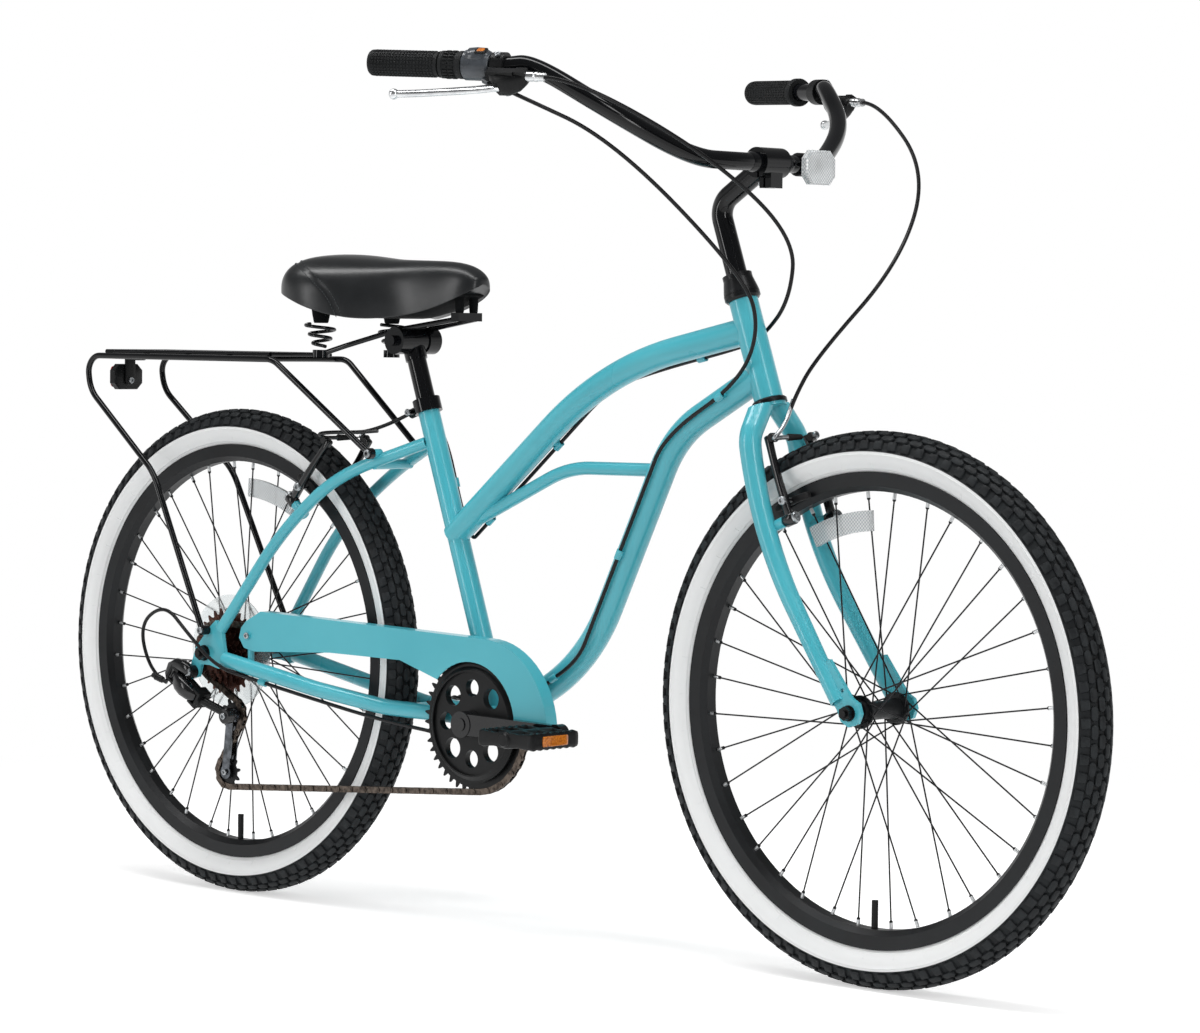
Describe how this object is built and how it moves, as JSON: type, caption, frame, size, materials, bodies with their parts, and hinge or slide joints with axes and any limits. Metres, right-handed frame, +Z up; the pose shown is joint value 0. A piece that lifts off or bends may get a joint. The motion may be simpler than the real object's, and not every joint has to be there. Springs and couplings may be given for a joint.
{
  "type": "beach cruiser bicycle",
  "caption": "Step-through beach cruiser bicycle with curved twin tubes, swept-back bars, rim brakes, twist-shift derailleur gears, chain guard, sprung saddle and rear rack.",
  "frame": {"origin": "on the ground under the middle of the wheelbase, in the wheels' plane", "axes": "+X towards the front wheel, +Y to the rider's left, +Z up"},
  "size_m": [1.7857, 0.8172, 1.1175],
  "materials": {
    "frame_paint": "gloss teal paint",
    "black_paint": "gloss black paint",
    "tyre_rubber": "black tread with pale sidewalls",
    "tube_rubber": "matt black rubber",
    "black_alloy": "black anodised",
    "spoke_steel": "dark steel",
    "axle_steel": "dark plated steel",
    "clear_plastic": "clear prism plastic",
    "red_plastic": "red lens in a black back",
    "grip_rubber": "matt black rubber",
    "grey_plastic": "grey plastic",
    "black_plastic": "black plastic",
    "lever_alloy": "polished silver",
    "crank_steel": "dark gloss steel",
    "chain_steel": "brown steel",
    "cage_steel": "grey plated steel",
    "saddle_vinyl": "black vinyl with a sewn seam",
    "cable_casing": "black cable casing"
  },
  "bodies": {
    "frame": {"front_triangle": "frame_paint", "rear_triangle": "frame_paint", "frame_fittings": "frame_paint", "bearing_cups": "black_paint", "seat_clamp": "black_paint", "chain_guard": "frame_paint", "rear_rack": "black_paint", "rack_reflector": "red_plastic", "rear_axle": "axle_steel", "chain": "chain_steel", "rear_brake_cable": "cable_casing", "shift_cable": "cable_casing", "derailleur_bracket": "black_plastic"},
    "steering_assembly": {"fork": "frame_paint", "headset_locknut": "black_paint", "stem": "black_paint", "handlebar": "black_paint", "grips": "grip_rubber", "brake_brackets": "black_plastic", "shifter_housing": "grey_plastic", "front_reflector": "clear_plastic", "front_axle": "axle_steel", "front_brake_cable": "cable_casing"},
    "front_wheel": {"front_tyre": "tyre_rubber", "front_rim": "black_alloy", "front_inner_tube": "tube_rubber", "front_hub": "black_alloy", "front_spokes": "spoke_steel", "front_spoke_reflector": "clear_plastic"},
    "rear_wheel": {"rear_tyre": "tyre_rubber", "rear_rim": "black_alloy", "rear_inner_tube": "tube_rubber", "rear_hub": "black_alloy", "rear_spokes": "spoke_steel", "rear_spoke_reflector": "clear_plastic", "spoke_protector": "clear_plastic"},
    "freewheel_cluster": {"freewheel": "chain_steel"},
    "crankset": {"crank_spindle": "axle_steel", "right_crank": "crank_steel", "left_crank": "crank_steel", "chainring": "black_paint"},
    "right_pedal_body": {"right_pedal": "black_plastic"},
    "left_pedal_body": {"left_pedal": "black_plastic"},
    "right_lever": {"right_brake_lever": "lever_alloy"},
    "left_lever": {"left_brake_lever": "lever_alloy"},
    "twist_grip": {"twist_shifter": "grip_rubber"},
    "front_right_arm": {"front_right_brake_arm": "black_paint"},
    "front_left_arm": {"front_left_brake_arm": "black_paint"},
    "rear_right_arm": {"rear_right_brake_arm": "black_paint"},
    "rear_left_arm": {"rear_left_brake_arm": "black_paint"},
    "outer_link": {"derailleur_outer_link": "black_plastic"},
    "inner_link": {"derailleur_inner_link": "black_plastic"},
    "knuckle": {"derailleur_knuckle": "black_plastic"},
    "cage": {"derailleur_cage": "cage_steel"},
    "guide_pulley_body": {"guide_pulley": "black_plastic"},
    "tension_pulley_body": {"tension_pulley": "black_plastic"},
    "post": {"seatpost": "black_paint"},
    "saddle_frame": {"saddle_undercarriage": "black_paint", "saddle_springs": "black_paint"},
    "saddle_top": {"saddle_cushion": "saddle_vinyl"}
  },
  "joints": [
    {"name": "steering", "type": "hinge", "parent": "frame", "child": "steering_assembly", "pos_m": [0.51232, 0, 0.334], "axis": [-0.3338, 0, 0.9426], "range_deg": [-60, 60], "deforming": ["rear_brake_cable", "shift_cable"]},
    {"name": "front_wheel_spin", "type": "hinge", "parent": "steering_assembly", "child": "front_wheel", "pos_m": [0.559, 0, 0.334], "axis": [0, 1, 0], "continuous": true},
    {"name": "rear_wheel_spin", "type": "hinge", "parent": "frame", "child": "rear_wheel", "pos_m": [-0.559, 0, 0.334], "axis": [0, 1, 0], "continuous": true},
    {"name": "crank_spin", "type": "hinge", "parent": "frame", "child": "crankset", "pos_m": [-0.062, 0, 0.274], "axis": [0, 1, 0], "continuous": true, "deforming": ["chain"]},
    {"name": "freewheel_spin", "type": "hinge", "parent": "frame", "child": "freewheel_cluster", "pos_m": [-0.559, 0, 0.334], "axis": [0, 1, 0], "continuous": true},
    {"name": "right_pedal_spin", "type": "hinge", "parent": "crankset", "child": "right_pedal_body", "pos_m": [0.104, -0.121, 0.274], "axis": [0, 1, 0], "continuous": true},
    {"name": "left_pedal_spin", "type": "hinge", "parent": "crankset", "child": "left_pedal_body", "pos_m": [-0.228, 0.121, 0.274], "axis": [0, 1, 0], "continuous": true},
    {"name": "left_lever_squeeze", "type": "hinge", "parent": "steering_assembly", "child": "left_lever", "pos_m": [0.2364, 0.31871, 1.0798], "axis": [0.194, 0.4453, 0.8741], "range_deg": [0, 20], "stiffness_Nm_per_rad": 3},
    {"name": "right_lever_squeeze", "type": "hinge", "parent": "steering_assembly", "child": "right_lever", "pos_m": [0.2364, -0.31871, 1.0798], "axis": [-0.194, 0.4453, -0.8741], "range_deg": [0, 20], "stiffness_Nm_per_rad": 3},
    {"name": "front_right_arm_close", "type": "hinge", "parent": "steering_assembly", "child": "front_right_arm", "pos_m": [0.427, -0.04, 0.549], "axis": [-0.93, 0, -0.3676], "range_deg": [0, 4.8]},
    {"name": "front_left_arm_close", "type": "hinge", "parent": "steering_assembly", "child": "front_left_arm", "pos_m": [0.427, 0.04, 0.549], "axis": [0.93, 0, 0.3676], "range_deg": [0, 4.8]},
    {"name": "rear_right_arm_close", "type": "hinge", "parent": "frame", "child": "rear_right_arm", "pos_m": [-0.397, -0.04, 0.531], "axis": [-0.7709, 0, 0.6369], "range_deg": [0, 4.8]},
    {"name": "rear_left_arm_close", "type": "hinge", "parent": "frame", "child": "rear_left_arm", "pos_m": [-0.397, 0.04, 0.531], "axis": [0.7709, 0, -0.6369], "range_deg": [0, 4.8]},
    {"name": "gear_twist", "type": "hinge", "parent": "steering_assembly", "child": "twist_grip", "pos_m": [0.053, -0.356, 1.1015], "axis": [0.9416, 0.3345, -0.0386], "range_deg": [-60, 60], "deforming": ["chain"]},
    {"name": "outer_link_swing", "type": "hinge", "parent": "frame", "child": "outer_link", "pos_m": [-0.606, -0.08, 0.3], "axis": [0.5578, 0, 0.83], "range_deg": [-19, 19]},
    {"name": "inner_link_swing", "type": "hinge", "parent": "frame", "child": "inner_link", "pos_m": [-0.606, -0.067, 0.3], "axis": [0.5578, 0, 0.83], "range_deg": [-19, 19]},
    {"name": "knuckle_swing", "type": "hinge", "parent": "outer_link", "child": "knuckle", "pos_m": [-0.56782, -0.08, 0.27434], "axis": [0.5578, 0, 0.83], "range_deg": [-19, 19]},
    {"name": "cage_swing", "type": "hinge", "parent": "knuckle", "child": "cage", "pos_m": [-0.519, -0.058, 0.25], "axis": [0, 1, 0], "range_deg": [-20, 20], "stiffness_Nm_per_rad": 1.2, "deforming": ["chain"]},
    {"name": "guide_pulley_spin", "type": "hinge", "parent": "cage", "child": "guide_pulley_body", "pos_m": [-0.528, -0.0436, 0.25], "axis": [0, 1, 0], "continuous": true},
    {"name": "tension_pulley_spin", "type": "hinge", "parent": "cage", "child": "tension_pulley_body", "pos_m": [-0.53653, -0.0436, 0.17046], "axis": [0, 1, 0], "continuous": true},
    {"name": "saddle_height", "type": "slide", "parent": "frame", "child": "post", "axis": [-0.328, 0, 0.9447], "range_m": [-0.03, 0.03]},
    {"name": "saddle_tilt", "type": "hinge", "parent": "post", "child": "saddle_frame", "pos_m": [-0.23061, 0, 0.76556], "axis": [0, 1, 0], "range_deg": [-10, 10]},
    {"name": "saddle_bounce", "type": "hinge", "parent": "saddle_frame", "child": "saddle_top", "pos_m": [-0.133, 0, 0.796], "axis": [0, 1, 0], "range_deg": [-4, 0.5], "stiffness_Nm_per_rad": 1600, "deforming": ["saddle_springs"]}
  ],
  "couplings": [
    {"joint": "freewheel_spin", "follows": "crank_spin", "ratio": 2.2},
    {"joint": "guide_pulley_spin", "follows": "crank_spin", "ratio": -4.4},
    {"joint": "tension_pulley_spin", "follows": "crank_spin", "ratio": 4.4},
    {"joint": "front_right_arm_close", "follows": "left_lever_squeeze", "ratio": 0.24},
    {"joint": "front_left_arm_close", "follows": "left_lever_squeeze", "ratio": 0.24},
    {"joint": "rear_right_arm_close", "follows": "right_lever_squeeze", "ratio": 0.24},
    {"joint": "rear_left_arm_close", "follows": "right_lever_squeeze", "ratio": 0.24},
    {"joint": "outer_link_swing", "follows": "gear_twist", "ratio": 0.31667},
    {"joint": "inner_link_swing", "follows": "gear_twist", "ratio": 0.31667},
    {"joint": "knuckle_swing", "follows": "gear_twist", "ratio": -0.31667}
  ]
}
